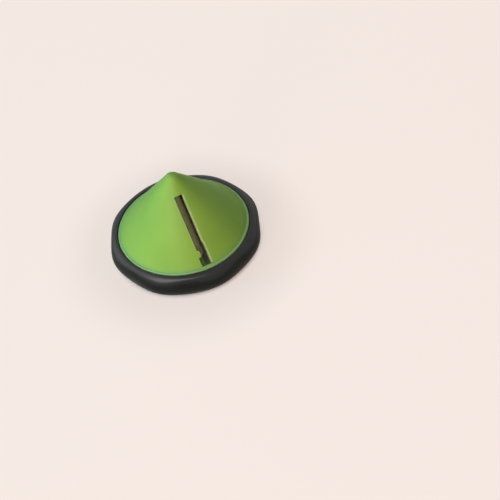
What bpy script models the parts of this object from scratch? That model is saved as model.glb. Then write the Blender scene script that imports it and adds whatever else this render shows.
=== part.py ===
"""Cone-shaped spiral fruit cutter.

A green moulded cone stands on a soft black ring. A throat is cut down one side of the cone, and a thin
steel blade lies in it with its edge standing inwards by one slice. A vegetable is pushed up into the
cone from below and turned, and the slice leaves outwards between the blade and the throat's other wall.

Metres, +Z up. The origin is the middle of the foot on the cone's axis, and the throat faces -Y.
"""
import math

import bmesh
import bpy
from mathutils import Vector

# Cone
RIM_RADIUS = 0.0385
RIM_HEIGHT = 0.0128
HALF_ANGLE = math.radians(40.7)
WALL = 0.0024
TIP_RADIUS = 0.0050
TIP_THICKNESS = 0.0080
CEILING_FILLET = 0.0012

# Rim under the cone: bead, flange and skirt
BEAD_RADIUS = 0.0008
BEAD_FILLET = 0.0008
FLANGE_DROP = 0.0026
FLANGE_THICKNESS = 0.0037
FLANGE_REACH = 0.0034
SKIRT_CLEARANCE = 0.0030
EDGE_ROUND = 0.0005

# Soft ring
RING_HEIGHT = 0.0138
RING_COVER = 0.0068
RING_LIP_ROUND = 0.0006
FOOT_OVERLAP = 0.0003
FOOT_WIDTH = 0.0047
LOBES = 8
LOBE_DEPTH = 0.0014

# Blade
SLICE = 0.0013
BLADE_WIDTH = 0.0053
BLADE_THICKNESS = 0.0005
BLADE_TILT = math.radians(17.7)
BLADE_START = 0.0132
BLADE_RIM_MARGIN = 0.0087
GRIND_WIDTH = 0.0012
EDGE_LAND = 0.00005
BLADE_CORNER = 0.0008

# Throat window, measured across from the cutting edge and down the slope from the cone's apex
THROAT_GAP = 0.0013
THROAT_DRAFT = math.radians(10.5)
OUTLET_WIDENING = 0.00045
WINDOW_BEHIND_EDGE = 0.0040
WINDOW_TOP_COVER = 0.0013
WINDOW_RIM_MARGIN = 0.0024
OUTLET_LEAD = 0.0071
LUG_LENGTH = 0.0038
LUG_REACH = 0.0013
LUG_OVERRUN = 0.0006
OUTLET_BEHIND_EDGE = 0.0044
WINDOW_CORNER = 0.0004

# Clamp bar and its screw
CLAMP_WIDTH = 0.0033
CLAMP_SETBACK = 0.0019
CLAMP_TONGUE = 0.0034
TAB_THICKNESS = 0.0014
TAB_CLEARANCE = 0.0050
SCREW_RADIUS = 0.0010
SCREW_BITE = 0.0045
SCREW_HEAD_RADIUS = 0.0019
SCREW_HEAD_HEIGHT = 0.0013
SCREW_HEAD_ROUND = 0.0005
SCREW_SLOT_WIDTH = 0.0005
SCREW_SLOT_DEPTH = 0.0006

# Fits and facets
FIT_GAP = 0.0003
CONE_SEGMENTS = 72
LOBE_SEGMENTS = 12
SCREW_SEGMENTS = 20
SMALL_ROUND_STEPS = 2
ROUND_STEPS = 3
HEAD_STEPS = 4
BEAD_STEPS = 5
DOME_STEPS = 6
RING_STEPS = 8
CUT_DEPTH = 0.004
WELD = 1e-6
SMOOTH_ANGLE = math.radians(35)

# Colours
GREEN = (0.25, 0.52, 0.12)
BLACK = (0.03, 0.03, 0.03)
STEEL = (0.6, 0.6, 0.58)

# Worked out from the sizes above
SIN = math.sin(HALF_ANGLE)
COS = math.cos(HALF_ANGLE)
APEX_HEIGHT = RIM_HEIGHT + RIM_RADIUS * COS / SIN
RIM_SLANT = RIM_RADIUS / SIN
BEAD_OUTSIDE = RIM_RADIUS + BEAD_RADIUS / 2
FLANGE_TOP = RIM_HEIGHT - FLANGE_DROP
FLANGE_BOTTOM = FLANGE_TOP - FLANGE_THICKNESS
SKIRT_OUTSIDE = BEAD_OUTSIDE - EDGE_ROUND
SKIRT_INSIDE = SKIRT_OUTSIDE - WALL
FLANGE_OUTSIDE = SKIRT_OUTSIDE + FLANGE_REACH
RING_OUTSIDE = BEAD_OUTSIDE + RING_COVER
FOOT_INSIDE = SKIRT_INSIDE - FOOT_OVERLAP
EDGE_DEPTH = WALL + SLICE
WINDOW_START = BLADE_START + WINDOW_TOP_COVER
WINDOW_END = RIM_SLANT - WINDOW_RIM_MARGIN
BLADE_END = RIM_SLANT - BLADE_RIM_MARGIN
OUTLET_START = BLADE_END - OUTLET_LEAD
CLAMP_START = BLADE_START - CLAMP_TONGUE
SCREW_HEIGHT = (FLANGE_TOP + FLANGE_BOTTOM) / 2
SCREW_ACROSS = -CLAMP_SETBACK - CLAMP_WIDTH / 2


def on_slope(across, down, out):
    """Point across the throat, down the slope from the apex, and out from the cone's outer surface."""
    return Vector((across, -(down * SIN + out * COS), APEX_HEIGHT - down * COS + out * SIN))


def arc(centre, radius, start, end, steps):
    """Points of an arc in a plane, from one angle to another, both ends included."""
    angles = [start + (end - start) * i / steps for i in range(steps + 1)]
    return [(centre[0] + radius * math.cos(a), centre[1] + radius * math.sin(a)) for a in angles]


def rounded(corners, radius):
    """A closed outline whose corners are replaced by arcs of one radius."""
    outline = []
    for i, corner in enumerate(corners):
        here = Vector(corner)
        before = (Vector(corners[i - 1]) - here).normalized()
        after = (Vector(corners[(i + 1) % len(corners)]) - here).normalized()
        half = before.angle(after) / 2
        centre = here + (before + after).normalized() * radius / math.sin(half)
        first = here + before * radius / math.tan(half) - centre
        last = here + after * radius / math.tan(half) - centre
        start = math.atan2(first.y, first.x)
        turn = (math.atan2(last.y, last.x) - start + math.pi) % (2 * math.pi) - math.pi
        outline += arc(centre, radius, start, start + turn, ROUND_STEPS)
    return outline


def add_object(name, bm, material=None):
    """Turn a bmesh into a named object with outward faces and smooth curved sides."""
    bmesh.ops.recalc_face_normals(bm, faces=bm.faces)
    mesh = bpy.data.meshes.new(name)
    bm.to_mesh(mesh)
    bm.free()
    mesh.shade_smooth()
    mesh.set_sharp_from_angle(angle=SMOOTH_ANGLE)
    thing = bpy.data.objects.new(name, mesh)
    bpy.context.collection.objects.link(thing)
    if material:
        mesh.materials.append(material)
    return thing


def turned(profile, segments, closed):
    """Spin a profile of (radius, height) points round the Z axis."""
    bm = bmesh.new()
    points = [bm.verts.new((r, 0, z)) for r, z in profile]
    pairs = list(zip(points, points[1:]))
    if closed:
        pairs.append((points[-1], points[0]))
    edges = [bm.edges.new(pair) for pair in pairs]
    bmesh.ops.spin(bm, geom=points + edges, cent=(0, 0, 0), axis=(0, 0, 1),
                   angle=2 * math.pi, steps=segments, use_merge=True)
    bmesh.ops.remove_doubles(bm, verts=bm.verts, dist=WELD)
    return bm


def tapered(low_outline, high_outline, place, low, high):
    """Closed block between two outlines of as many points: place(a, b, height) gives each in the part."""
    bm = bmesh.new()
    bottom = [bm.verts.new(place(a, b, low)) for a, b in low_outline]
    top = [bm.verts.new(place(a, b, high)) for a, b in high_outline]
    bm.faces.new(bottom)
    bm.faces.new(top[::-1])
    for i in range(len(bottom)):
        bm.faces.new((bottom[i - 1], bottom[i], top[i], top[i - 1]))
    return bm


def slab(outline, place, low, high):
    """Block with straight sides under one flat outline."""
    return tapered(outline, outline, place, low, high)


def cut(body, name, bm):
    """Take a hidden cutter out of a body."""
    cutter = add_object(name, bm)
    cutter.hide_render = True
    cutter.display_type = 'WIRE'
    step = body.modifiers.new(name, 'BOOLEAN')
    step.operation = 'DIFFERENCE'
    step.solver = 'EXACT'
    step.object = cutter


def finish(name, colour, roughness, metallic=0.0):
    """A plain material with the piece's own colour and gloss."""
    material = bpy.data.materials.new(name)
    material.use_nodes = True
    shader = material.node_tree.nodes["Principled BSDF"]
    shader.inputs["Base Color"].default_value = (*colour, 1)
    shader.inputs["Roughness"].default_value = roughness
    shader.inputs["Metallic"].default_value = metallic
    return material


def cone_profile():
    """Outline of the cone from the tip down the outside, round the rim and up the inside."""
    dome = arc((0, APEX_HEIGHT - TIP_RADIUS / SIN), TIP_RADIUS, math.pi / 2, HALF_ANGLE, DOME_STEPS)
    dome[0] = (0, dome[0][1])
    return dome + bead_profile() + rim_profile() + inside_profile()


def bead_profile():
    """Hollow fillet from the slope into the round bead that edges the cone."""
    bead = (BEAD_OUTSIDE - BEAD_RADIUS, RIM_HEIGHT + BEAD_RADIUS / 2)
    bead_out = bead[0] * COS - (APEX_HEIGHT - bead[1]) * SIN
    bead_down = bead[0] * SIN + (APEX_HEIGHT - bead[1]) * COS
    rise = math.sqrt((BEAD_RADIUS + BEAD_FILLET) ** 2 - (BEAD_FILLET - bead_out) ** 2)
    middle = on_slope(0, bead_down - rise, BEAD_FILLET)
    fillet = (-middle.y, middle.z)
    towards = math.atan2(bead[1] - fillet[1], bead[0] - fillet[0])
    hollow = arc(fillet, BEAD_FILLET, HALF_ANGLE - math.pi, towards, ROUND_STEPS)
    crown = arc(bead, BEAD_RADIUS, towards + math.pi, 0, BEAD_STEPS)
    return hollow + crown[1:]


def rim_profile():
    """Flange that carries the soft ring, and the skirt below it."""
    flange = [(BEAD_OUTSIDE, FLANGE_TOP)]
    corner = FLANGE_OUTSIDE - EDGE_ROUND
    flange += small_round(corner, FLANGE_TOP - EDGE_ROUND, math.pi / 2)
    flange += small_round(corner, FLANGE_BOTTOM + EDGE_ROUND, 0)
    foot = SKIRT_CLEARANCE + EDGE_ROUND
    skirt = [(SKIRT_OUTSIDE, FLANGE_BOTTOM)]
    skirt += small_round(SKIRT_OUTSIDE - EDGE_ROUND, foot, 0)
    skirt += small_round(SKIRT_INSIDE + EDGE_ROUND, foot, -math.pi / 2)
    return flange + skirt


def small_round(radius, height, start):
    """Quarter turn, clockwise in the section, that rounds a corner of the rim."""
    return arc((radius, height), EDGE_ROUND, start, start - math.pi / 2, SMALL_ROUND_STEPS)


def inside_profile():
    """Inner slope, parallel to the outer one, up to the flat ceiling under the solid tip."""
    inner_apex = APEX_HEIGHT - WALL / SIN
    tip_top = APEX_HEIGHT - TIP_RADIUS / SIN + TIP_RADIUS
    ceiling = tip_top - TIP_THICKNESS
    shoulder = inner_apex - SKIRT_INSIDE * COS / SIN
    run = CEILING_FILLET / math.tan((math.pi / 2 + HALF_ANGLE) / 2)
    corner = (inner_apex - ceiling) * SIN / COS
    centre = (corner - run, ceiling - CEILING_FILLET)
    fillet = arc(centre, CEILING_FILLET, HALF_ANGLE, math.pi / 2, ROUND_STEPS)
    return [(SKIRT_INSIDE, shoulder)] + fillet + [(0, ceiling)]


def window_outline(out):
    """Outline of the throat at one height out: drafted slice gap, and blade opening with its lug."""
    gap = THROAT_GAP + out * math.tan(THROAT_DRAFT)
    outlet = gap + OUTLET_WIDENING
    lug_end = BLADE_END + FIT_GAP + LUG_OVERRUN
    lug_start = lug_end - LUG_LENGTH
    corners = [
        (gap, WINDOW_START), (gap, OUTLET_START),
        (outlet, OUTLET_START + 2 * OUTLET_WIDENING), (outlet, WINDOW_END),
        (-OUTLET_BEHIND_EDGE, WINDOW_END), (-OUTLET_BEHIND_EDGE, lug_end),
        (-WINDOW_BEHIND_EDGE + LUG_REACH, lug_end), (-WINDOW_BEHIND_EDGE + LUG_REACH, lug_start),
        (-WINDOW_BEHIND_EDGE, lug_start), (-WINDOW_BEHIND_EDGE, WINDOW_START),
    ]
    return rounded(corners, WINDOW_CORNER)


def blade_axes():
    """Cutting edge, direction towards it and direction out of the blade's face, as (across, out)."""
    edge = Vector((0, -EDGE_DEPTH))
    along = Vector((math.cos(BLADE_TILT), -math.sin(BLADE_TILT)))
    up = Vector((math.sin(BLADE_TILT), math.cos(BLADE_TILT)))
    return edge, along, up


def blade_corners(above, behind):
    """Edge, rear, rear top and edge top of the blade's section with a gap above and behind it."""
    edge, along, up = blade_axes()
    rear = edge - along * (BLADE_WIDTH + behind)
    rise = up * (BLADE_THICKNESS + above)
    return edge, rear, rear + rise, edge + rise


def make_cone(green):
    """One moulding: turned shell, then the throat, the blade's seat and the clamp's channel."""
    body = add_object("cone_body", turned(cone_profile(), CONE_SEGMENTS, False), green)
    deep = -EDGE_DEPTH - FIT_GAP
    window = tapered(window_outline(deep), window_outline(CUT_DEPTH), on_slope, deep, CUT_DEPTH)
    cut(body, "window_cutter", window)
    cut(body, "seat_cutter", seat_cutter())
    cut(body, "channel_cutter", channel_cutter())
    cut(body, "screw_hole_cutter", screw_hole())
    return body


def across_out(across, out, down):
    """The same point as on_slope, for sections that are drawn square to the slope."""
    return on_slope(across, down, out)


def seat_cutter():
    """Pocket from the inside whose sloping roof is the seat that the blade is pressed against."""
    _, rear, rear_top, edge_top = blade_corners(FIT_GAP, FIT_GAP)
    floor = -EDGE_DEPTH - FIT_GAP
    outline = [tuple(rear_top), tuple(edge_top), (edge_top.x, floor), (rear.x, floor)]
    return slab(outline, across_out, BLADE_START - FIT_GAP, BLADE_END + FIT_GAP)


def channel_cutter():
    """Channel for the clamp bar: a blind socket in the solid tip, open along the inside of the wall."""
    left = -CLAMP_SETBACK - CLAMP_WIDTH - FIT_GAP
    right = -CLAMP_SETBACK + FIT_GAP
    floor = -EDGE_DEPTH - 2 * FIT_GAP
    outline = [(left, -WALL), (right, -WALL), (right, floor), (left, floor)]
    end = (SKIRT_INSIDE + WALL * COS) / SIN
    return slab(outline, across_out, CLAMP_START - FIT_GAP, end)


def screw_barrel(radius, start, end):
    """Cylinder along the screw's axis, from one radius of the cone to another."""
    outline = arc((SCREW_ACROSS, SCREW_HEIGHT), radius, 0, 2 * math.pi, SCREW_SEGMENTS)[:-1]
    return slab(outline, lambda x, z, r: Vector((x, -r, z)), start, end)


def screw_hole():
    """Blind hole for the screw, through the skirt into the flange."""
    inside = SKIRT_INSIDE - FIT_GAP - TAB_THICKNESS
    return screw_barrel(SCREW_RADIUS + FIT_GAP, inside, SKIRT_INSIDE + SCREW_BITE + FIT_GAP)


def quarter_oval(inner, start, end):
    """Quarter of an oval, half the ring high, between a flat's radius and the ring's outside."""
    middle = RING_HEIGHT / 2
    return [(inner + (RING_OUTSIDE - inner) * x, middle + middle * z)
            for x, z in arc((0, 0), 1, start, end, RING_STEPS)]


def ring_profile():
    """Section of the soft ring: a round outside, a flat foot and a groove that grips the flange."""
    top_inside = BEAD_OUTSIDE + FIT_GAP
    crest = top_inside + RING_LIP_ROUND
    upper = quarter_oval(crest, math.pi / 2, 0)
    lower = quarter_oval(FOOT_INSIDE + FOOT_WIDTH, 0, -math.pi / 2)
    heel = arc((FOOT_INSIDE + EDGE_ROUND, EDGE_ROUND), EDGE_ROUND, -math.pi / 2, -math.pi, ROUND_STEPS)
    ledge = SKIRT_CLEARANCE - FIT_GAP
    skirt_side = SKIRT_OUTSIDE + FIT_GAP
    flange_side = FLANGE_OUTSIDE + FIT_GAP
    groove = [
        (FOOT_INSIDE, ledge), (skirt_side, ledge),
        (skirt_side, FLANGE_BOTTOM - FIT_GAP), (flange_side, FLANGE_BOTTOM - FIT_GAP),
        (flange_side, FLANGE_TOP + FIT_GAP), (top_inside, FLANGE_TOP + FIT_GAP),
    ]
    lip_centre = (crest, RING_HEIGHT - RING_LIP_ROUND)
    lip = arc(lip_centre, RING_LIP_ROUND, math.pi, math.pi / 2, ROUND_STEPS)
    return upper + lower[1:] + heel + groove + lip[:-1]


def make_ring(black):
    """Turned soft ring whose outside is drawn in between the lobes."""
    bm = turned(ring_profile(), LOBES * LOBE_SEGMENTS, True)
    still = FLANGE_OUTSIDE + FIT_GAP
    for vert in bm.verts:
        radius = vert.co.xy.length
        share = max(0.0, (radius - still) / (RING_OUTSIDE - still))
        angle = math.atan2(vert.co.x, -vert.co.y)
        inwards = LOBE_DEPTH * share * (1 - math.cos(LOBES * angle)) / 2
        vert.co.xy *= 1 - inwards / radius
    return add_object("grip_ring", bm, black)


def make_blade(steel):
    """Flat strip with rounded ends and one edge ground on its outer face."""
    edge, along, up = blade_axes()
    corners = [(-BLADE_WIDTH, BLADE_START), (0, BLADE_START), (0, BLADE_END), (-BLADE_WIDTH, BLADE_END)]
    outline = rounded(corners, BLADE_CORNER)

    def place(across, down, height):
        spot = edge + along * across + up * height
        return on_slope(spot.x, down, spot.y)

    blade = add_object("cutting_blade", slab(outline, place, 0, BLADE_THICKNESS), steel)
    fall = BLADE_THICKNESS - EDGE_LAND
    above = BLADE_THICKNESS + fall
    grind = [(-2 * GRIND_WIDTH, above), (GRIND_WIDTH, EDGE_LAND - fall), (GRIND_WIDTH, above)]
    grinder = slab(grind, lambda a, h, d: place(a, d, h), BLADE_START - CUT_DEPTH, BLADE_END + CUT_DEPTH)
    cut(blade, "grind_cutter", grinder)
    return blade


def make_clamp(green):
    """Bar along the inside of the wall, bent down into a tab that is screwed to the skirt."""
    face = -WALL - FIT_GAP
    back = -EDGE_DEPTH
    wall_side = SKIRT_INSIDE - FIT_GAP
    hand_side = wall_side - TAB_THICKNESS

    def bend(out, radius):
        down = (radius - out * COS) / SIN
        spot = on_slope(0, down, out)
        return (radius, spot.z)

    top_face = on_slope(0, CLAMP_START, face)
    top_back = on_slope(0, CLAMP_START, back)
    outline = [(-top_face.y, top_face.z), bend(face, wall_side), (wall_side, TAB_CLEARANCE),
               (hand_side, TAB_CLEARANCE), bend(back, hand_side), (-top_back.y, top_back.z)]
    right = -CLAMP_SETBACK
    bar = slab(outline, lambda r, z, x: Vector((x, -r, z)), right - CLAMP_WIDTH, right)
    clamp = add_object("blade_clamp", bar, green)
    edge, rear, rear_top, edge_top = blade_corners(0, FIT_GAP)
    under = (rear - rear_top).normalized() * FIT_GAP
    room = [tuple(rear + under), tuple(edge + under), tuple(edge_top), tuple(rear_top)]
    cut(clamp, "blade_room_cutter", slab(room, across_out, BLADE_START - FIT_GAP, BLADE_END + FIT_GAP))
    beyond = wall_side + CUT_DEPTH
    skirt = [(wall_side, 0), (beyond, 0), (beyond, APEX_HEIGHT), (wall_side, APEX_HEIGHT)]
    cut(clamp, "skirt_room_cutter", turned(skirt, CONE_SEGMENTS, True))
    tab_hole = screw_barrel(SCREW_RADIUS + FIT_GAP, hand_side - CUT_DEPTH, beyond)
    cut(clamp, "tab_hole_cutter", tab_hole)
    return clamp


def make_screw(steel):
    """Pan-head screw that lies along the radius, with its slotted head inside the cone."""
    seat = SKIRT_INSIDE - 2 * FIT_GAP - TAB_THICKNESS
    flat = SCREW_HEAD_RADIUS - SCREW_HEAD_ROUND
    crown = arc((0, 0), 1, 0, math.pi / 2, HEAD_STEPS)
    head = [(flat + SCREW_HEAD_ROUND * a, -SCREW_HEAD_HEIGHT * b) for a, b in crown]
    end = SKIRT_INSIDE + SCREW_BITE - seat
    shank = [(SCREW_RADIUS, 0), (SCREW_RADIUS, end - SCREW_RADIUS), (0, end)]
    profile = [(0, -SCREW_HEAD_HEIGHT)] + head[::-1] + shank
    bm = turned(profile, SCREW_SEGMENTS, False)
    for vert in bm.verts:
        x, y, z = vert.co
        vert.co = (x + SCREW_ACROSS, -(z + seat), y + SCREW_HEIGHT)
    screw = add_object("clamp_screw", bm, steel)
    half = SCREW_SLOT_WIDTH / 2
    reach = 2 * SCREW_HEAD_RADIUS
    slot = [(SCREW_ACROSS - half, SCREW_HEIGHT - reach), (SCREW_ACROSS + half, SCREW_HEIGHT - reach),
            (SCREW_ACROSS + half, SCREW_HEIGHT + reach), (SCREW_ACROSS - half, SCREW_HEIGHT + reach)]
    floor = seat - SCREW_HEAD_HEIGHT + SCREW_SLOT_DEPTH
    cut(screw, "slot_cutter", slab(slot, lambda x, z, r: Vector((x, -r, z)), floor - CUT_DEPTH, floor))
    return screw


def build():
    """Clear the scene and make every piece in its place."""
    for thing in list(bpy.data.objects):
        bpy.data.objects.remove(thing, do_unlink=True)
    green = finish("green_plastic", GREEN, 0.3)
    black = finish("black_rubber", BLACK, 0.6)
    steel = finish("blade_steel", STEEL, 0.3, 1.0)
    make_cone(green)
    make_ring(black)
    make_blade(steel)
    make_clamp(green)
    make_screw(steel)


build()
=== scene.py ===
"""Cone-shaped spiral fruit cutter: a moulded cone with a steel blade in its throat, on a soft ring.

Metres, +Z up. The cone's axis is the Z axis, its foot stands at Z = 0 and the throat faces -Y.
"""

import math

import bmesh
import bpy
import numpy as np
from mathutils import Matrix, Vector


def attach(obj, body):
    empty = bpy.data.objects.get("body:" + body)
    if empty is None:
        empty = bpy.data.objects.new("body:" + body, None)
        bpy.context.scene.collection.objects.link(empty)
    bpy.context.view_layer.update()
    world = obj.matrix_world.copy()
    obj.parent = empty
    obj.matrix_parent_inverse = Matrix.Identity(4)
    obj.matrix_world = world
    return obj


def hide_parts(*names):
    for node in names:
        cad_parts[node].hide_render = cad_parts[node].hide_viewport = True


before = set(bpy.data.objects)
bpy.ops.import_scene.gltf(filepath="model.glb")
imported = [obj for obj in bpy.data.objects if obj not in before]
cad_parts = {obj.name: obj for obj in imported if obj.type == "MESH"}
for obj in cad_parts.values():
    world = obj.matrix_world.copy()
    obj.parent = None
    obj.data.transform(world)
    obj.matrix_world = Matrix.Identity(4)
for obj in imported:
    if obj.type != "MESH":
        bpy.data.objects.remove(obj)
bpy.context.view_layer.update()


# Camera
# A long lens held above the throat's left side and rolled a few degrees. It looks past the cutter, which
# therefore stands left of and a little above the middle of the picture.
CAMERA_AZIMUTH = -19.5
CAMERA_ELEVATION = 47.65
CAMERA_ROLL = math.radians(9.94)
CAMERA_DISTANCE = 0.5976
FOOT_RIGHT = -0.0375
FOOT_UP = 0.0058
LENS = 72
SENSOR_WIDTH = 36
NEAREST_SEEN = 0.01


def direction(azimuth, elevation):
    """Unit vector (sin a cos e, -cos a cos e, sin e), with a and e in degrees and the throat at a = 0."""
    a, e = math.radians(azimuth), math.radians(elevation)
    return Vector((math.sin(a) * math.cos(e), -math.cos(a) * math.cos(e), math.sin(e)))


camera_data = bpy.data.cameras.new("camera")
camera_data.sensor_width = SENSOR_WIDTH
camera_data.lens = LENS
camera_data.clip_start = NEAREST_SEEN
back = direction(CAMERA_AZIMUTH, CAMERA_ELEVATION)
level = direction(CAMERA_AZIMUTH + 90, 0)
rise = back.cross(level)
right = level * math.cos(CAMERA_ROLL) - rise * math.sin(CAMERA_ROLL)
up = level * math.sin(CAMERA_ROLL) + rise * math.cos(CAMERA_ROLL)
camera_place = back * CAMERA_DISTANCE - right * FOOT_RIGHT - up * FOOT_UP
camera = bpy.data.objects.new("camera", camera_data)
camera.matrix_world = Matrix.Translation(camera_place) @ Matrix((right, up, back)).transposed().to_4x4()
bpy.context.collection.objects.link(camera)
bpy.context.scene.camera = camera


# Cone body
# One injection moulding in satin green plastic: a steep thin-walled cone with a solid rounded tip, a
# round bead at its edge, and under the bead a flange and a skirt. The throat, the blade's seat, the
# clamp's channel and the screw hole are all cored in the same moulding.
HALF_ANGLE = math.radians(40.7)
SIN, COS = math.sin(HALF_ANGLE), math.cos(HALF_ANGLE)
RIM_RADIUS = 0.0385
RIM_HEIGHT = 0.0128
WALL = 0.0024
TIP_RADIUS = 0.0050
TIP_THICKNESS = 0.0080
CEILING_FILLET = 0.0012
BEAD_RADIUS = 0.0008
FLANGE_DROP = 0.0026
FLANGE_THICKNESS = 0.0037
FLANGE_REACH = 0.0034
SKIRT_CLEARANCE = 0.0030
EDGE_ROUND = 0.0005
FIT_GAP = 0.0003
SLICE = 0.0013
APEX_HEIGHT = RIM_HEIGHT + RIM_RADIUS * COS / SIN
RIM_SLANT = RIM_RADIUS / SIN
BEAD_OUTSIDE = RIM_RADIUS + BEAD_RADIUS / 2
FLANGE_TOP = RIM_HEIGHT - FLANGE_DROP
FLANGE_BOTTOM = FLANGE_TOP - FLANGE_THICKNESS
SKIRT_OUTSIDE = BEAD_OUTSIDE - EDGE_ROUND
SKIRT_INSIDE = SKIRT_OUTSIDE - WALL
FLANGE_OUTSIDE = SKIRT_OUTSIDE + FLANGE_REACH
EDGE_DEPTH = WALL + SLICE
CONE_SEGMENTS = 288
DOME_STEPS = 24
SLOPE_STEPS = 64
HOLLOW_STEPS = 8
BEAD_STEPS = 16
EDGE_STEPS = 4
INNER_SLOPE_STEPS = 56
FILLET_STEPS = 8
CEILING_STEPS = 6
SEAM = 1e-7
CUT_SEAM = 2e-6
CUT_BEND = math.radians(5)


def arc(centre, radius, start, end, steps):
    """Points centre + radius * (cos a, sin a), with a going evenly from start to end."""
    a = np.linspace(start, end, steps + 1)
    return np.asarray(centre) + radius * np.stack((np.cos(a), np.sin(a)), axis=1)


def line(start, end, steps):
    """Points spread evenly over a straight stretch, without its two ends."""
    share = np.linspace(0, 1, steps + 1)[1:-1, None]
    return np.asarray(start) * (1 - share) + np.asarray(end) * share


def close(mesh, distance=SEAM, bend=0.0):
    """Merge points that lie closer than the distance, and turn the faces outwards.

    A point that joins only two edges goes too, where they bend by no more than the angle."""
    bm = bmesh.new()
    bm.from_mesh(mesh)
    bmesh.ops.remove_doubles(bm, verts=bm.verts, dist=distance)
    bmesh.ops.dissolve_limit(bm, angle_limit=bend, verts=bm.verts, edges=[])
    bmesh.ops.recalc_face_normals(bm, faces=bm.faces)
    bm.to_mesh(mesh)
    bm.free()


def grid_mesh(name, points, wrap_rows=False, caps=False):
    """A mesh over an array of rows x columns x 3: a quad joins each point to the next row and column.

    The last column joins the first. Either the last row does so too, or caps close the two end rows."""
    rows, columns = points.shape[:2]
    index = np.arange(rows * columns).reshape(rows, columns)
    if wrap_rows:
        index = np.concatenate((index, index[:1]))
    index = np.concatenate((index, index[:, :1]), axis=1)
    quads = np.stack((index[:-1, :-1], index[:-1, 1:], index[1:, 1:], index[1:, :-1]), axis=-1)
    faces = quads.reshape(-1, 4).tolist()
    if caps:
        faces += [list(range(columns)), list(range((rows - 1) * columns, rows * columns))]
    mesh = bpy.data.meshes.new(name)
    mesh.from_pydata(points.reshape(-1, 3).tolist(), [], faces)
    close(mesh)
    return mesh


def carried_round(section, segments):
    """A section of (radius, height) points carried round the Z axis: (r sin a, -r cos a, z)."""
    a = np.linspace(0, 2 * math.pi, segments, endpoint=False)
    r, z = section[:, :1], section[:, 1:]
    return np.stack(np.broadcast_arrays(r * np.sin(a), -r * np.cos(a), z), axis=-1)


def cut(mesh, cutters):
    """Take closed cutter meshes out of a mesh, one after the other, and give the result as a new mesh."""
    body = bpy.data.objects.new("cut_body", mesh)
    bpy.context.collection.objects.link(body)
    tools = []
    for cutter in cutters:
        tool = bpy.data.objects.new("cutter", cutter)
        bpy.context.collection.objects.link(tool)
        step = body.modifiers.new("cut", 'BOOLEAN')
        step.operation = 'DIFFERENCE'
        step.solver = 'MANIFOLD'
        step.object = tool
        tools.append(tool)
    result = bpy.data.meshes.new_from_object(body.evaluated_get(bpy.context.evaluated_depsgraph_get()))
    for thing in [body] + tools:
        bpy.data.objects.remove(thing, do_unlink=True)
    close(result, CUT_SEAM, CUT_BEND)
    return result


def piece(name, mesh, material, sharp):
    """A finished piece of the object: it rides on the one body and takes its slot's finish.

    Its surface is smooth, except over edges that turn by more than this many degrees."""
    mesh.materials.clear()
    mesh.materials.append(material)
    mesh.shade_smooth()
    mesh.set_sharp_from_angle(angle=math.radians(sharp))
    thing = bpy.data.objects.new(name, mesh)
    bpy.context.collection.objects.link(thing)
    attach(thing, "root")
    return thing


def cone_section():
    """Radius and height from the tip down the outside, round the rim and up the inside to the axis.

    The hollow over the bead has the bead's own radius. Its centre lies one radius out from the slope and
    two from the bead's centre, so that it runs into both without an edge."""
    dome = arc((0, APEX_HEIGHT - TIP_RADIUS / SIN), TIP_RADIUS, math.pi / 2, HALF_ANGLE, DOME_STEPS)
    dome[0, 0] = 0
    bead = np.array((BEAD_OUTSIDE - BEAD_RADIUS, RIM_HEIGHT + BEAD_RADIUS / 2))
    bead_out = bead[0] * COS - (APEX_HEIGHT - bead[1]) * SIN
    bead_down = bead[0] * SIN + (APEX_HEIGHT - bead[1]) * COS
    run = bead_down - math.sqrt(4 * BEAD_RADIUS ** 2 - (BEAD_RADIUS - bead_out) ** 2)
    groove = np.array((run * SIN + BEAD_RADIUS * COS, APEX_HEIGHT - run * COS + BEAD_RADIUS * SIN))
    towards = math.atan2(*(bead - groove)[::-1])
    hollow = arc(groove, BEAD_RADIUS, HALF_ANGLE - math.pi, towards, HOLLOW_STEPS)
    crown = arc(bead, BEAD_RADIUS, towards + math.pi, 0, BEAD_STEPS)[1:]
    slope = line(dome[-1], hollow[0], SLOPE_STEPS)
    return np.concatenate((dome, slope, hollow, crown, rim_section(), inside_section()))


def rim_section():
    """Flange that carries the soft ring, and the skirt below it, with small rounds at the corners."""
    edge = FLANGE_OUTSIDE - EDGE_ROUND
    foot = SKIRT_CLEARANCE + EDGE_ROUND
    quarter = math.pi / 2
    return np.concatenate((
        [(BEAD_OUTSIDE, FLANGE_TOP)],
        arc((edge, FLANGE_TOP - EDGE_ROUND), EDGE_ROUND, quarter, 0, EDGE_STEPS),
        arc((edge, FLANGE_BOTTOM + EDGE_ROUND), EDGE_ROUND, 0, -quarter, EDGE_STEPS),
        [(SKIRT_OUTSIDE, FLANGE_BOTTOM)],
        arc((SKIRT_OUTSIDE - EDGE_ROUND, foot), EDGE_ROUND, 0, -quarter, EDGE_STEPS),
        arc((SKIRT_INSIDE + EDGE_ROUND, foot), EDGE_ROUND, -quarter, -2 * quarter, EDGE_STEPS),
    ))


def inside_section():
    """Inner slope, one wall in from the outer one, up to the flat ceiling under the solid tip."""
    inner_apex = APEX_HEIGHT - WALL / SIN
    ceiling = APEX_HEIGHT - TIP_RADIUS / SIN + TIP_RADIUS - TIP_THICKNESS
    corner = (inner_apex - ceiling) * SIN / COS
    run = CEILING_FILLET / math.tan((math.pi / 2 + HALF_ANGLE) / 2)
    centre = (corner - run, ceiling - CEILING_FILLET)
    fillet = arc(centre, CEILING_FILLET, HALF_ANGLE, math.pi / 2, FILLET_STEPS)
    shoulder = np.array((SKIRT_INSIDE, inner_apex - SKIRT_INSIDE * COS / SIN))
    middle = np.array((0, ceiling))
    return np.concatenate(([shoulder], line(shoulder, fillet[0], INNER_SLOPE_STEPS), fillet,
                           line(fillet[-1], middle, CEILING_STEPS), [middle]))


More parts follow.
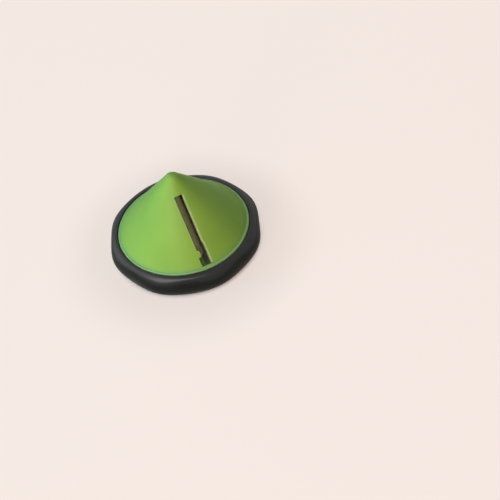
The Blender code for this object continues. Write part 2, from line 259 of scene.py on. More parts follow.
# The sizes of the throat, and of the blade, the clamp and the screw that the moulding is cored for.
# Starts and ends are distances down the slope from the apex. Points are (across the throat, out).
BLADE_WIDTH = 0.0053
BLADE_THICKNESS = 0.0005
BLADE_TILT = math.radians(17.7)
BLADE_START = 0.0132
BLADE_END = RIM_SLANT - 0.0087
THROAT_GAP = 0.0013
THROAT_DRAFT = math.tan(math.radians(10.5))
OUTLET_WIDENING = 0.00045
OUTLET_START = BLADE_END - 0.0071
OUTLET_FULL = OUTLET_START + 2 * OUTLET_WIDENING
OUTLET_BEHIND_EDGE = 0.0044
WINDOW_BEHIND_EDGE = 0.0040
WINDOW_START = BLADE_START + 0.0013
WINDOW_END = RIM_SLANT - 0.0024
WINDOW_CORNER = 0.0004
WINDOW_LIP = 0.00025
LIP_TURN = math.radians(75)
OVERCUT_WIDTH = 1.3 * WINDOW_LIP
OVERCUT_HEIGHT = 0.12 * WINDOW_LIP
OVERCUT_TOP = 0.001
LUG_LENGTH = 0.0038
LUG_REACH = 0.0013
LUG_END = BLADE_END + FIT_GAP + 0.0006
LUG_START = LUG_END - LUG_LENGTH
SCREW_RADIUS = 0.0010
SCREW_BITE = 0.0045
SCREW_HEIGHT = (FLANGE_TOP + FLANGE_BOTTOM) / 2
CLAMP_SETBACK = 0.0019
CLAMP_WIDTH = 0.0033
CLAMP_START = BLADE_START - 0.0034
TAB_THICKNESS = 0.0014
SCREW_ACROSS = -CLAMP_SETBACK - CLAMP_WIDTH / 2
EDGE_POINT = np.array((0, -EDGE_DEPTH))
BLADE_ALONG = np.array((math.cos(BLADE_TILT), -math.sin(BLADE_TILT)))
BLADE_UP = np.array((math.sin(BLADE_TILT), math.cos(BLADE_TILT)))
CORNER_STEPS = 6
SIDE_STEPS = 30
LIP_STEPS = 5
HOLE_SEGMENTS = 32


def slope_points(across, down, out):
    """Points across the throat, down the slope from the apex and out along the slope's normal.

    With S and C the half angle's sine and cosine, each is (across, -(down * S + out * C),
    apex - down * C + out * S)."""
    across, down, out = np.broadcast_arrays(across, down, out)
    return np.stack((across, -(down * SIN + out * COS), APEX_HEIGHT - down * COS + out * SIN), axis=-1)


def cone_height(across, down):
    """How far the round cone lies out from the plane that touches it along the throat, zero or less.

    It is the root next to zero of (1 - T2) * out2 + 2 * down * T * out + across2 = 0, where T is the half
    angle's tangent and a 2 after a name is its square."""
    square = 1 - (SIN / COS) ** 2
    linear = 2 * down * SIN / COS
    return (np.sqrt(linear ** 2 - 4 * square * across ** 2) - linear) / (2 * square)


def rounded(corners, radius, steps, side_steps):
    """A closed outline whose corners become arcs, with its straight sides divided.

    An arc's centre lies on the line that halves its corner, radius / sin(half its angle) away."""
    corners = np.asarray(corners)
    outline = []
    for here, before, after in zip(corners, np.roll(corners, 1, axis=0), np.roll(corners, -1, axis=0)):
        to_before = (before - here) / np.linalg.norm(before - here)
        to_after = (after - here) / np.linalg.norm(after - here)
        inwards = (to_before + to_after) / np.linalg.norm(to_before + to_after)
        half = math.acos(np.clip(to_before @ to_after, -1, 1)) / 2
        centre = here + inwards * radius / math.sin(half)
        first = here + to_before * radius / math.tan(half) - centre
        last = here + to_after * radius / math.tan(half) - centre
        start = math.atan2(first[1], first[0])
        turn = (math.atan2(last[1], last[0]) - start + math.pi) % (2 * math.pi) - math.pi
        bend = arc(centre, radius, start, start + turn, steps)
        if outline:
            outline.append(line(outline[-1][-1], bend[0], side_steps))
        outline.append(bend)
    outline.append(line(outline[-1][-1], outline[0][0], side_steps))
    return np.concatenate(outline)


def throat_cutter():
    """The throat as a stack of outlines: drafted walls below, and a rounded lip where they meet the cone.

    Up the lip, as t grows, an outline is wider by lip * (1 - cos t) and lies lip * (1 - sin t) below the
    cone. The last two stand out over the cone."""
    half_outlet = THROAT_GAP + OUTLET_WIDENING
    beside_lug = LUG_REACH - WINDOW_BEHIND_EDGE
    outline = rounded([
        (THROAT_GAP, WINDOW_START), (THROAT_GAP, OUTLET_START),
        (half_outlet, OUTLET_FULL), (half_outlet, WINDOW_END),
        (-OUTLET_BEHIND_EDGE, WINDOW_END), (-OUTLET_BEHIND_EDGE, LUG_END),
        (beside_lug, LUG_END), (beside_lug, LUG_START),
        (-WINDOW_BEHIND_EDGE, LUG_START), (-WINDOW_BEHIND_EDGE, WINDOW_START),
    ], WINDOW_CORNER, CORNER_STEPS, SIDE_STEPS)
    run = np.roll(outline, -1, axis=0) - np.roll(outline, 1, axis=0)
    outward = np.stack((run[:, 1], -run[:, 0]), axis=1) / np.linalg.norm(run, axis=1)[:, None]
    drafted = np.clip((outline[:, 0] + WINDOW_BEHIND_EDGE) / (THROAT_GAP + WINDOW_BEHIND_EDGE), 0, 1)
    turn = np.linspace(0, LIP_TURN, LIP_STEPS + 1)
    wider = np.r_[0, WINDOW_LIP * (1 - np.cos(turn)), OVERCUT_WIDTH, OVERCUT_WIDTH]
    above = np.r_[WINDOW_LIP * (np.sin(turn) - 1), OVERCUT_HEIGHT]
    spot = outline + outward * wider[:, None, None]
    out = cone_height(spot[..., 0], spot[..., 1])
    out[0] = -EDGE_DEPTH - FIT_GAP
    out[1:-1] += above[:, None]
    out[-1] = OVERCUT_TOP
    points = slope_points(spot[..., 0] + drafted * THROAT_DRAFT * out, spot[..., 1], out)
    return grid_mesh("throat", points, caps=True)


def slope_block(name, section, low, high):
    """A straight block: one (across, out) section at two distances down the slope."""
    section = np.asarray(section)
    points = slope_points(section[:, 0], np.array([[low], [high]]), section[:, 1])
    return grid_mesh(name, points, caps=True)


def seat_cutter():
    """Pocket from the inside, whose sloping roof is the seat that the blade is pressed against."""
    roof = BLADE_UP * (BLADE_THICKNESS + FIT_GAP)
    edge_top = EDGE_POINT + roof
    rear = EDGE_POINT - BLADE_ALONG * (BLADE_WIDTH + FIT_GAP)
    bottom = -EDGE_DEPTH - FIT_GAP
    section = [rear + roof, edge_top, (edge_top[0], bottom), (rear[0], bottom)]
    return slope_block("seat", section, BLADE_START - FIT_GAP, BLADE_END + FIT_GAP)


def channel_cutter():
    """Channel for the clamp bar, from its blind socket in the solid tip to the inside of the skirt."""
    near = -CLAMP_SETBACK + FIT_GAP
    far = -CLAMP_SETBACK - CLAMP_WIDTH - FIT_GAP
    bottom = -EDGE_DEPTH - 2 * FIT_GAP
    section = [(far, -WALL), (near, -WALL), (near, bottom), (far, bottom)]
    return slope_block("channel", section, CLAMP_START - FIT_GAP, (SKIRT_INSIDE + WALL * COS) / SIN)


def screw_hole_cutter():
    """Blind hole along the cone's radius, through the skirt and into the flange."""
    middle = (SCREW_ACROSS, SCREW_HEIGHT)
    circle = arc(middle, SCREW_RADIUS + FIT_GAP, 0, 2 * math.pi, HOLE_SEGMENTS)[:-1]
    mouth = SKIRT_INSIDE - FIT_GAP - TAB_THICKNESS
    end = SKIRT_INSIDE + SCREW_BITE + FIT_GAP
    depths = np.array([[-mouth], [-end]])
    points = np.stack(np.broadcast_arrays(circle[:, 0], depths, circle[:, 1]), axis=-1)
    return grid_mesh("screw_hole", points, caps=True)


class Wire:
    """A shader socket that the usual signs work on: each adds a Math node to its tree.

    add() puts in any other node, and into() joins the socket to a shader's input."""

    def __init__(self, tree, socket=None):
        self.tree = tree
        self.socket = socket

    def add(self, kind, settings, inputs, output=0):
        """A node of one kind, its settings first, then the number or wire for each input."""
        node = self.tree.nodes.new(kind)
        for key, value in settings.items():
            setattr(node, key, value)
        for key, value in inputs.items():
            if isinstance(value, Wire):
                self.tree.links.new(value.socket, node.inputs[key])
            else:
                node.inputs[key].default_value = value
        return Wire(self.tree, node.outputs[output])

    def maths(self, operation, first, second=0.0):
        return self.add("ShaderNodeMath", {"operation": operation}, {0: first, 1: second})

    def absolute(self):
        return self.maths('ABSOLUTE', self)

    def smaller(self, other):
        return self.maths('MINIMUM', self, other)

    def vector(self, operation, other, output="Vector"):
        return self.add("ShaderNodeVectorMath", {"operation": operation}, {0: self, 1: other}, output)

    def dot(self, axis):
        """How far the wire's place lies along an axis."""
        return self.vector('DOT_PRODUCT', axis, "Value")

    def from_axis(self):
        """How far the wire's place lies from the Z axis."""
        return self.vector('MULTIPLY', (1, 1, 0)).from_middle()

    def from_middle(self):
        """How far the wire's place lies from the middle of the foot."""
        return self.vector('LENGTH', (0, 0, 0), "Value")

    def noise(self, scale, detail=2.0):
        """Cloudy noise at this many features a metre, read at the wire's own place."""
        return self.add("ShaderNodeTexNoise", {}, {"Vector": self, "Scale": scale, "Detail": detail})

    def ramp(self, low, high, from_value=0.0, to_value=1.0):
        """Smooth step from one value to another as the wire goes from low to high."""
        return self.add("ShaderNodeMapRange", {"interpolation_type": 'SMOOTHSTEP'},
                        {"Value": self, "From Min": low, "From Max": high,
                         "To Min": from_value, "To Max": to_value})

    def mix(self, first, second):
        """Colour between two others, with the wire as the share of the second.

        On this node, sockets 6 and 7 are the two colours, and output 2 is the mixed one."""
        return self.add("ShaderNodeMix", {"data_type": 'RGBA'}, {0: self, 6: first, 7: second}, 2)

    def bump(self, distance):
        """Normal of a surface whose height is the wire times the distance."""
        return self.add("ShaderNodeBump", {}, {"Height": self, "Distance": distance})

    def into(self, socket):
        self.tree.links.new(self.socket, socket)

    def __add__(self, other):
        return self.maths('ADD', self, other)

    def __sub__(self, other):
        return self.maths('SUBTRACT', self, other)

    def __rsub__(self, other):
        return self.maths('SUBTRACT', other, self)

    def __mul__(self, other):
        return self.maths('MULTIPLY', self, other)

    __radd__ = __add__
    __rmul__ = __mul__


def new_finish(name, **even):
    """A material, its shader's inputs and its object coordinates, with the even values set at once."""
    material = bpy.data.materials.new(name)
    material.use_nodes = True
    shader = material.node_tree.nodes["Principled BSDF"]
    for key, value in even.items():
        shader.inputs[key.replace("_", " ")].default_value = value
    place = Wire(material.node_tree).add("ShaderNodeTexCoord", {}, {}, "Object")
    return material, shader.inputs, place


# The plastic's colours, how many clouds, marks, patches and grains it has to the metre, the noise values
# between which each of them grows from nothing to full, and the depth of the skin.
FRESH_GREEN = (0.350, 0.575, 0.088, 1)
DEEP_GREEN = (0.315, 0.541, 0.081, 1)
DYE_CLOUDS = 38
DYE_SPREAD = (0.34, 0.66)
TURNING_MARKS = 2600
MARK_SPREAD = (0.56, 0.74)
MARK_DRIFT = 9
DRIFT_CLOUDS = 55
WORN_PATCHES = 70
PATCH_SPREAD = (0.5, 0.7)
PLASTIC_GRAIN = 2400
PLASTIC_SKIN_DEPTH = 0.000016


def moulded_plastic(name, fresh, deep, roughness, swirl, painted_light=None):
    """Dyed moulded plastic: cloudy colour, faint turning marks round the cone, and a fine skin.

    The marks are noise over radius and height, so they run round the axis. A slow drift bends them."""
    material, shader, place = new_finish(name, IOR=1.49, Specular_IOR_Level=0.25, Subsurface_Weight=0.12,
                                         Subsurface_Scale=0.004, Subsurface_Radius=(0.5, 1.0, 0.4))
    cloud = place.noise(DYE_CLOUDS).ramp(*DYE_SPREAD)
    radius = place.from_axis()
    height = place.dot((0, 0, 1))
    marks = place.add("ShaderNodeCombineXYZ", {}, {0: radius * TURNING_MARKS, 1: height * TURNING_MARKS})
    drift = MARK_DRIFT * place.noise(DRIFT_CLOUDS, 1)
    rings = marks.vector('ADD', drift).noise(1)
    worn = rings.ramp(*MARK_SPREAD) * place.noise(WORN_PATCHES, 1).ramp(*PATCH_SPREAD)
    skin = place.noise(PLASTIC_GRAIN)
    colour = cloud.mix(fresh, deep)
    # Where given, painted shade and highlights go over the dyed colour.
    if painted_light:
        colour = painted_light(place, radius, height, colour)
    colour.into(shader["Base Color"])
    (roughness + 0.05 * cloud + swirl * worn + 0.05 * skin).into(shader["Roughness"])
    (skin * 0.5 - worn * swirl * 3).bump(PLASTIC_SKIN_DEPTH).into(shader["Normal"])
    return material


# Painted light on the cone: shade in the hollow over the bead, highlights on the bead and along the
# throat's lips, and the throat's far wall paler as if lit. The colours, how strong each is, and the two
# places between which it fades in.
HOLLOW_SHADE_GREEN = (0.20, 0.47, 0.16, 1)
BEAD_HIGHLIGHT_GREEN = (0.47, 0.65, 0.40, 1)
LIP_HIGHLIGHT_GREEN = (0.50, 0.66, 0.28, 1)
LIT_WALL_GREEN = (0.50, 0.57, 0.27, 1)
HOLLOW_SHADE_STRENGTH = 0.5
BEAD_HIGHLIGHT_STRENGTH = 0.42
LIP_HIGHLIGHT_STRENGTH = 0.8
LIT_WALL_STRENGTH = 0.85
HOLLOW_SHADE_FADE = (RIM_RADIUS - 0.0030, RIM_RADIUS - 0.0008)
BEAD_HIGHLIGHT_FADE = (RIM_RADIUS - 0.0010, RIM_RADIUS - 0.0006)
LIP_HIGHLIGHT_FADE = (0.0007, 0.00025)
WALL_FADE = (0.0008, 0.0005)
OUTER_FADE = (0.00003, 0.00012)
INNER_FADE = (WALL - 0.0001, WALL - 0.0003)
WINDOW_START_FADE = (WINDOW_START - 0.0004, WINDOW_START)
WINDOW_END_FADE = (WINDOW_END + 0.0002, WINDOW_END - 0.0003)
LUG_START_FADE = (LUG_START - 0.0001, LUG_START)
LUG_END_FADE = (LUG_END, LUG_END - 0.0001)


def cone_painted_light(place, radius, height, colour):
    """Painted light on the cone: shade in the hollow over the bead, highlights on bead and lips, lit far
    wall.

    The depth below the slope is (apex - z) * sine - r * cosine of the half angle."""
    # Painted shade: a darker, bluer green in the hollow over the bead.
    hollow = HOLLOW_SHADE_STRENGTH * radius.ramp(*HOLLOW_SHADE_FADE)
    # Painted highlight: a paler green over the bead.
    bead = BEAD_HIGHLIGHT_STRENGTH * radius.ramp(*BEAD_HIGHLIGHT_FADE)
    across = place.dot((1, 0, 0))
    down = place.dot((0, -SIN, -COS)) + APEX_HEIGHT * COS
    depth = (APEX_HEIGHT - height) * SIN - radius * COS
    on_lug = down.ramp(*LUG_START_FADE) * down.ramp(*LUG_END_FADE)
    widened = down.ramp(OUTLET_START, OUTLET_FULL)
    from_left = (across + WINDOW_BEHIND_EDGE - LUG_REACH * on_lug).absolute()
    from_right = (across - THROAT_GAP - OUTLET_WIDENING * widened).absolute()
    in_window = down.ramp(*WINDOW_START_FADE) * down.ramp(*WINDOW_END_FADE)
    in_wall = depth.ramp(*OUTER_FADE) * depth.ramp(*INNER_FADE)
    # Painted highlight: a paler green along both lips of the throat.
    lip = LIP_HIGHLIGHT_STRENGTH * from_left.smaller(from_right).ramp(*LIP_HIGHLIGHT_FADE) * in_window
    # Painted light: the throat's far wall face is paler, as if lit.
    wall = LIT_WALL_STRENGTH * in_wall * from_right.ramp(*WALL_FADE) * in_window
    rim = bead.mix(hollow.mix(colour, HOLLOW_SHADE_GREEN), BEAD_HIGHLIGHT_GREEN)
    return wall.mix(lip.mix(rim, LIP_HIGHLIGHT_GREEN), LIT_WALL_GREEN)


green_plastic = moulded_plastic("green_plastic", FRESH_GREEN, DEEP_GREEN,
                                roughness=0.38, swirl=0.12, painted_light=cone_painted_light)
turned_cone = grid_mesh("moulded_cone", carried_round(cone_section(), CONE_SEGMENTS))
cone_mesh = cut(turned_cone, [throat_cutter(), seat_cutter(), channel_cutter(), screw_hole_cutter()])
cone = piece("moulded_cone", cone_mesh, green_plastic, sharp=38)
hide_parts("cone_body")


# Grip ring
# One soft moulding in black thermoplastic rubber, snapped over the cone's flange. Its plump outside is
# drawn in between eight lobes for the fingers, and its flat foot keeps the cutter from slipping.
RING_HEIGHT = 0.0138
RING_OUTSIDE = BEAD_OUTSIDE + 0.0068
RING_LIP_ROUND = 0.0006
FOOT_INSIDE = SKIRT_INSIDE - 0.0003
FOOT_WIDTH = 0.0047
LOBES = 8
LOBE_DEPTH = 0.0014
RING_SEGMENTS = 384
PLUMP_STEPS = 28
HEEL_STEPS = 5
RING_LIP_STEPS = 6
DEEP_BLACK = (0.0022, 0.0019, 0.0016, 1)
RUBBED_BLACK = (0.0048, 0.0043, 0.0037, 1)
RUBBED_WIDTH = 0.0022
RUBBED_PATCHES = 160
RUBBED_SPREAD = (0.42, 0.68)
RUBBER_CLOUDS = 45
RUBBER_SPREAD = (0.35, 0.65)
RUBBER_GRAIN = 3000
RUBBER_PITS = 2200
RUBBER_SKIN_DEPTH = 0.00003


def ring_section():
    """Round outside, flat foot, heel, groove that grips the flange, and the lip that touches the bead.

    The outside is two quarter ellipses: (cos a, sin a) stretched up to the crest and down to the foot."""
    quarter = math.pi / 2
    middle = RING_HEIGHT / 2
    inside = BEAD_OUTSIDE + FIT_GAP
    crest = inside + RING_LIP_ROUND
    foot = FOOT_INSIDE + FOOT_WIDTH
    upper = (crest, middle) + arc((0, 0), 1, quarter, 0, PLUMP_STEPS) * (RING_OUTSIDE - crest, middle)
    lower = (foot, middle) + arc((0, 0), 1, 0, -quarter, PLUMP_STEPS)[1:] * (RING_OUTSIDE - foot, middle)
    heel = arc((FOOT_INSIDE + EDGE_ROUND, EDGE_ROUND), EDGE_ROUND, -quarter, -2 * quarter, HEEL_STEPS)
    skirt_side = SKIRT_OUTSIDE + FIT_GAP
    flange_side = FLANGE_OUTSIDE + FIT_GAP
    ledge = SKIRT_CLEARANCE - FIT_GAP
    groove = [(FOOT_INSIDE, ledge), (skirt_side, ledge), (skirt_side, FLANGE_BOTTOM - FIT_GAP),
              (flange_side, FLANGE_BOTTOM - FIT_GAP), (flange_side, FLANGE_TOP + FIT_GAP),
              (inside, FLANGE_TOP + FIT_GAP)]
    lip_centre = (crest, RING_HEIGHT - RING_LIP_ROUND)
    lip = arc(lip_centre, RING_LIP_ROUND, 2 * quarter, quarter, RING_LIP_STEPS)[:-1]
    return np.concatenate((upper, lower, heel, groove, lip))


def lobed(mesh):
    """Draw the outside in between the lobes.

    The depth is a raised cosine of the angle round the axis, times how far out a point lies from the
    groove, as a share."""
    points = np.empty(len(mesh.vertices) * 3)
    mesh.vertices.foreach_get("co", points)
    points = points.reshape(-1, 3)
    radius = np.linalg.norm(points[:, :2], axis=1)
    still = FLANGE_OUTSIDE + FIT_GAP
    share = np.maximum(0, (radius - still) / (RING_OUTSIDE - still))
    angle = np.arctan2(points[:, 0], -points[:, 1])
    inwards = LOBE_DEPTH * share * (1 - np.cos(LOBES * angle)) / 2
    points[:, :2] *= (1 - inwards / radius)[:, None]
    mesh.vertices.foreach_set("co", points.ravel())
    return mesh


def soft_rubber():
    """Charcoal rubber with an eroded skin, slightly greyer and duller where its outside is rubbed."""
    material, shader, place = new_finish("black_rubber", IOR=1.5, Specular_IOR_Level=0.36)
    outermost = place.from_axis().ramp(RING_OUTSIDE - RUBBED_WIDTH, RING_OUTSIDE)
    rubbed = outermost * place.noise(RUBBED_PATCHES, 3).ramp(*RUBBED_SPREAD)
    cloud = place.noise(RUBBER_CLOUDS).ramp(*RUBBER_SPREAD)
    grain = place.noise(RUBBER_GRAIN, 3)
    pits = place.add("ShaderNodeTexVoronoi", {}, {"Vector": place, "Scale": RUBBER_PITS})
    (0.5 * cloud + 0.5 * rubbed).mix(DEEP_BLACK, RUBBED_BLACK).into(shader["Base Color"])
    (0.24 + 0.05 * cloud + 0.08 * rubbed + 0.06 * grain).into(shader["Roughness"])
    (grain + 0.5 * pits).bump(RUBBER_SKIN_DEPTH).into(shader["Normal"])
    return material


turned_ring = grid_mesh("soft_grip_ring", carried_round(ring_section(), RING_SEGMENTS), wrap_rows=True)
ring = piece("soft_grip_ring", lobed(turned_ring), soft_rubber(), sharp=50)
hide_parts("grip_ring")


# Blade
# A strip of hardened stainless steel, rolled flat and ground along one edge. It lies on the sloping seat
# under the lug, with the ground edge standing inwards of the wall by the thickness of one slice.
GRIND_WIDTH = 0.0012
EDGE_LAND = 0.00005
BLADE_CORNER = 0.0008
BLADE_BREAK = 0.00007
BREAK_STEPS = 3
FACE_STEPS = 8
GROUND_STEPS = 6
UNDER_STEPS = 10
BLADE_CORNER_STEPS = 8
BLADE_ROWS = 60
# Darker and more olive than bare stainless steel: painted shade of its recessed seat and a painted olive
# reflection.
BLADE_SHADED_PALE = (0.160, 0.150, 0.066, 1)
BLADE_SHADED_DARK = (0.066, 0.066, 0.028, 1)
GROUND_PALE = (0.37, 0.325, 0.19, 1)
GROUND_DARK = (0.22, 0.195, 0.11, 1)
ROLLING_STREAKS = (9000, 60, 4000)
GRINDING_LINES = (300, 12000, 300)
STEEL_STAINS = 220
STAIN_SPREAD = (0.45, 0.75)
GRIND_FADE = 0.00004
STEEL_SKIN_DEPTH = 0.000006


def blade_mesh():
    """The strip's section of (along, up) points, carried down the slope between its rounded corners.

    At a distance e from an end, each side is drawn in by r - sqrt(r2 - (r - e)2), where r is the corner's
    radius and a 2 is a square."""
    heel = -BLADE_WIDTH
    top = BLADE_THICKNESS
    shoulder = (-GRIND_WIDTH, top)
    land = (0, EDGE_LAND)
    edge = (0, 0)
    rear = np.concatenate((
        arc((heel + BLADE_BREAK, BLADE_BREAK), BLADE_BREAK, -math.pi / 2, -math.pi, BREAK_STEPS),
        arc((heel + BLADE_BREAK, top - BLADE_BREAK), BLADE_BREAK, -math.pi, -1.5 * math.pi, BREAK_STEPS)))
    face = line(rear[-1], shoulder, FACE_STEPS)
    ground = line(shoulder, land, GROUND_STEPS)
    under = line(edge, rear[0], UNDER_STEPS)
    section = np.concatenate((rear, face, [shoulder], ground, [land, edge], under))
    bend = BLADE_CORNER * (1 - np.cos(np.linspace(0, math.pi / 2, BLADE_CORNER_STEPS + 1)))
    straight = np.linspace(BLADE_START + BLADE_CORNER, BLADE_END - BLADE_CORNER, BLADE_ROWS)[1:-1]
    rows = np.concatenate((BLADE_START + bend, straight, (BLADE_END - bend)[::-1]))
    to_end = np.minimum(np.minimum(rows - BLADE_START, BLADE_END - rows), BLADE_CORNER)
    inset = BLADE_CORNER - np.sqrt(BLADE_CORNER ** 2 - (BLADE_CORNER - to_end) ** 2)
    squeeze = (1 - 2 * inset / BLADE_WIDTH)[:, None]
    along = heel / 2 + (section[:, 0] - heel / 2) * squeeze
    place = EDGE_POINT + along[..., None] * BLADE_ALONG + section[:, 1:] * BLADE_UP
    return grid_mesh("steel_blade", slope_points(place[..., 0], rows[:, None], place[..., 1]), caps=True)


def flow(place, across, down, out):
    """The place stretched for streaks: each direction of the slope gets its own features a metre."""
    axes = ((across, 0, 0), (0, -SIN * down, -COS * down), (0, -COS * out, SIN * out))
    return place.add("ShaderNodeCombineXYZ", {}, dict(enumerate(place.dot(axis) for axis in axes)))


def rolled_steel(name, pale, dark, ground_share):
    """Stainless steel: rolling streaks down the slope and faint stains, and a duller ground edge.

    The ground edge has finer lines across it, and shows by its share, which is none on the screw."""
    material, shader, place = new_finish(name)
    rolled = flow(place, *ROLLING_STREAKS).noise(1, 3)
    lines = flow(place, *GRINDING_LINES).noise(1)
    stains = place.noise(STEEL_STAINS, 3).ramp(*STAIN_SPREAD)
    along = place.dot((BLADE_ALONG[0], -COS * BLADE_ALONG[1], SIN * BLADE_ALONG[1]))
    shoulder = BLADE_ALONG @ EDGE_POINT + APEX_HEIGHT * SIN * BLADE_ALONG[1] - GRIND_WIDTH
    ground = ground_share * along.ramp(shoulder - GRIND_FADE, shoulder + GRIND_FADE)
    tone = (1 - ground) * (0.55 * rolled + 0.45 * stains) + ground * lines
    ground.mix(tone.mix(pale, dark), lines.mix(GROUND_PALE, GROUND_DARK)).into(shader["Base Color"])
    (1 - 0.7 * ground).into(shader["Metallic"])
    (0.34 + 0.12 * rolled + 0.08 * stains - 0.08 * ground).into(shader["Roughness"])
    ((1 - ground) * rolled + ground * lines).bump(STEEL_SKIN_DEPTH).into(shader["Normal"])
    return material


blade_steel = rolled_steel("blade_steel", BLADE_SHADED_PALE, BLADE_SHADED_DARK, ground_share=1.0)
blade = piece("steel_blade", blade_mesh(), blade_steel, sharp=12)
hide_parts("cutting_blade")


# Blade clamp
# A moulded bar along the inside of the wall. Its tongue goes into the socket in the solid tip, it presses
# the blade onto the seat, and at the rim it is bent down into a tab that one screw holds to the skirt.
# The clamp's greens are painted dark: painted shade, for the shadow it lies in under the throat's wall.
CLAMP_SHADED_FRESH = (0.125, 0.215, 0.045, 1)
CLAMP_SHADED_DEEP = (0.11, 0.19, 0.04, 1)
CLAMP_ROUND = 0.00018
CLAMP_ROUND_STEPS = 3
CLAMP_EDGE = math.radians(32)
CORNER_MERGE = 1e-6
FLAT_BEND = math.radians(0.5)


def joined_faces(node):
    """A merged copy of a CAD node's mesh, its flat faces joined so that a bevel can follow the edges."""
    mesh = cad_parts[node].data.copy()
    bm = bmesh.new()
    bm.from_mesh(mesh)
    bmesh.ops.remove_doubles(bm, verts=bm.verts, dist=CORNER_MERGE)
    bmesh.ops.dissolve_limit(bm, angle_limit=FLAT_BEND, verts=bm.verts, edges=bm.edges)
    bm.to_mesh(mesh)
    bm.free()
    return mesh


clamp_plastic = moulded_plastic("clamp_plastic", CLAMP_SHADED_FRESH, CLAMP_SHADED_DEEP, roughness=0.42, swirl=0.05)
clamp = piece("moulded_clamp", joined_faces("blade_clamp"), clamp_plastic, sharp=35)
rounding = clamp.modifiers.new("rounded_edges", 'BEVEL')
rounding.width = CLAMP_ROUND
rounding.segments = CLAMP_ROUND_STEPS
rounding.limit_method = 'ANGLE'
rounding.angle_limit = CLAMP_EDGE
rounding.use_clamp_overlap = True
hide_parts("blade_clamp")


# Clamp screw
# A slotted pan-head screw in plain stainless steel, driven outwards through the clamp's tab and the skirt
# into the flange. Its head stays inside the cone.
SCREW_HEAD_RADIUS = 0.0019
SCREW_HEAD_HEIGHT = 0.0013
SCREW_HEAD_ROUND = 0.0005
SCREW_SLOT_WIDTH = 0.0005
SCREW_SLOT_DEPTH = 0.0006
SCREW_SEAT = SKIRT_INSIDE - 2 * FIT_GAP - TAB_THICKNESS
SCREW_SEGMENTS = 48
HEAD_ROUND_STEPS = 10
HEAD_TOP_STEPS = 6
SCREW_PALE = (0.5, 0.49, 0.46, 1)
SCREW_DARK = (0.36, 0.35, 0.32, 1)


def along_radius(points):
    """Turn a shape made round the Z axis so that the axis lies along the cone's radius through the tab.

    A point (x, y, z) goes to (x + the tab's middle, -(z + the head's seat), y + the screw's height)."""
    x, y, z = points[..., 0], points[..., 1], points[..., 2]
    return np.stack((x + SCREW_ACROSS, -(z + SCREW_SEAT), y + SCREW_HEIGHT), axis=-1)


def screw_mesh():
    """Domed head, shank and point as one turned shape, with the slot cut across the head.

    The dome's side is a quarter ellipse: (cos a, sin a) stretched to the head's rounding and height."""
    top = np.array((0, -SCREW_HEAD_HEIGHT))
    side = arc((0, 0), 1, 0, math.pi / 2, HEAD_ROUND_STEPS)[::-1]
    head = (SCREW_HEAD_RADIUS - SCREW_HEAD_ROUND, 0) + side * (SCREW_HEAD_ROUND, -SCREW_HEAD_HEIGHT)
    end = SKIRT_INSIDE + SCREW_BITE - SCREW_SEAT
    shank = [(SCREW_RADIUS, 0), (SCREW_RADIUS, end - SCREW_RADIUS), (0, end)]
    section = np.concatenate(([top], line(top, head[0], HEAD_TOP_STEPS), head, shank))
    body = grid_mesh("slotted_screw", along_radius(carried_round(section, SCREW_SEGMENTS)))
    half = SCREW_SLOT_WIDTH / 2
    reach = 2 * SCREW_HEAD_RADIUS
    outline = np.array([(-half, -reach), (half, -reach), (half, reach), (-half, reach)])
    levels = np.array([[-2 * SCREW_HEAD_HEIGHT], [SCREW_SLOT_DEPTH - SCREW_HEAD_HEIGHT]])
    slot = np.stack(np.broadcast_arrays(outline[:, 0], outline[:, 1], levels), axis=-1)
    return cut(body, [grid_mesh("slot", along_radius(slot), caps=True)])


screw_steel = rolled_steel("screw_steel", SCREW_PALE, SCREW_DARK, ground_share=0.0)
screw = piece("slotted_screw", screw_mesh(), screw_steel, sharp=35)
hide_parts("clamp_screw")


# Floor and light
# A plain pale table with a soft shadow round the foot, partly cast by the lamps and partly painted shade
# from its glow. A low warm key lamp stands at the left front, with a cool fill at the left, a high fill
# and a weak one behind. Two more lamps show only in glossy surfaces, where they make the soft bands on
# the rubber.
FLOOR_SIZE = 6.0
FLOOR_WARM = (0.95, 0.855, 0.81, 1)
FLOOR_PALE = (0.98, 0.88, 0.835, 1)
FLOOR_CLOUDS = 9
GLOW_COLOUR = (1.0, 0.88, 0.83, 1)
WHITE = (1, 1, 1, 1)
ROOM_LIGHT = 0.04
SEEN_THROUGH = 0.76

# How much of the table's look is its own glow: under the foot, from the ring's edge, past the soft shadow
# and far away, with the distances from the middle between which each step is made. The glow is paler than
# the lit table, so its smaller share round the foot is painted shade.
GLOW_UNDER_FOOT = 0.012
GLOW_AT_EDGE = 0.688
GLOW_NEAR = 0.86
FOOT_EDGE = (0.040, 0.046)
SHADOW_EDGE = (0.048, 0.085)
TABLE_FADE = (0.35, 1.2)

floor_material, floor_shader, floor_place = new_finish(
    "pale_floor", Roughness=0.7, Specular_IOR_Level=0.1)
floor_place.noise(FLOOR_CLOUDS).mix(FLOOR_WARM, FLOOR_PALE).into(floor_shader["Base Color"])
floor_nodes = floor_material.node_tree.nodes
matt = Wire(floor_material.node_tree, floor_nodes["Principled BSDF"].outputs["BSDF"])
glow = floor_place.add("ShaderNodeEmission", {}, {"Color": GLOW_COLOUR, "Strength": 1.0})
distance = floor_place.from_middle()
# Painted shade: less glow near the foot darkens the table round the ring.
glow_share = (distance.ramp(*FOOT_EDGE, GLOW_UNDER_FOOT, GLOW_AT_EDGE)
              + distance.ramp(*SHADOW_EDGE, 0.0, GLOW_NEAR - GLOW_AT_EDGE)
              + distance.ramp(*TABLE_FADE, 0.0, 1 - GLOW_NEAR))
seen_directly = floor_place.add("ShaderNodeLightPath", {}, {}, "Is Camera Ray")
blend = floor_place.add("ShaderNodeMixShader", {}, {0: glow_share * seen_directly, 1: matt, 2: glow})
blend.into(floor_nodes["Material Output"].inputs["Surface"])
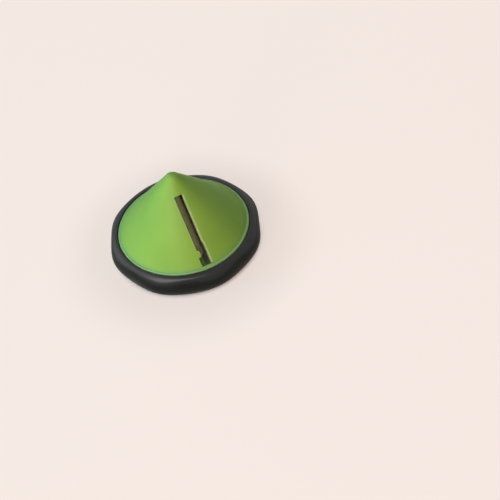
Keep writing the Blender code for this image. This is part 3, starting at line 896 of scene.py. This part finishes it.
corners = np.array([(-1, -1, 0), (1, -1, 0), (1, 1, 0), (-1, 1, 0)]) * FLOOR_SIZE / 2
floor_mesh = bpy.data.meshes.new("floor")
floor_mesh.from_pydata(corners.tolist(), [], [(0, 1, 2, 3)])
floor_mesh.materials.append(floor_material)
floor = bpy.data.objects.new("floor", floor_mesh)
bpy.context.collection.objects.link(floor)

world = bpy.data.worlds.new("studio")
bpy.context.scene.world = world
world.use_nodes = True
sky = Wire(world.node_tree)
camera_ray, glossy_ray, transmission_ray = [
    sky.add("ShaderNodeLightPath", {}, {}, name)
    for name in ("Is Camera Ray", "Is Glossy Ray", "Is Transmission Ray")]
background = world.node_tree.nodes["Background"].inputs
camera_ray.mix(WHITE, GLOW_COLOUR).into(background["Color"])
(ROOM_LIGHT + (1 - ROOM_LIGHT) * (camera_ray + glossy_ray)
 + SEEN_THROUGH * transmission_ray).into(background["Strength"])


def lamp(name, azimuth, elevation, size, power, colour, reflected=False):
    """A square soft lamp a metre from the foot's middle, facing the cutter.

    It either gives the plain light or, where reflected, shows only in the glossy surfaces."""
    place = direction(azimuth, elevation)
    data = bpy.data.lights.new(name, 'AREA')
    data.size = size
    data.energy = power
    data.color = colour
    thing = bpy.data.objects.new(name, data)
    aim = (-place).to_track_quat('-Z', 'Y')
    thing.matrix_world = Matrix.Translation(place) @ aim.to_matrix().to_4x4()
    thing.visible_diffuse = not reflected
    thing.visible_glossy = reflected
    bpy.context.collection.objects.link(thing)


# Azimuth and elevation in degrees, width in metres, power in watts and colour.
lamp("key", -46, 12, 0.35, 4.8, (1.0, 0.78, 0.60))
lamp("cool_fill", -100, 14, 0.5, 4.3, (0.04, 0.74, 1.0))
lamp("high_fill", -40, 64, 0.45, 2.4, (0.98, 0.98, 0.92))
lamp("back_fill", 150, 42, 0.8, 1.3, (0.80, 1.0, 0.84))
lamp("sheen", -60, 57, 0.7, 7.6, (1.0, 0.98, 0.97), reflected=True)
lamp("side_sheen", -122, 41, 1.1, 5.2, (0.96, 0.98, 1.0), reflected=True)

bpy.context.scene.view_settings.view_transform = 'Standard'
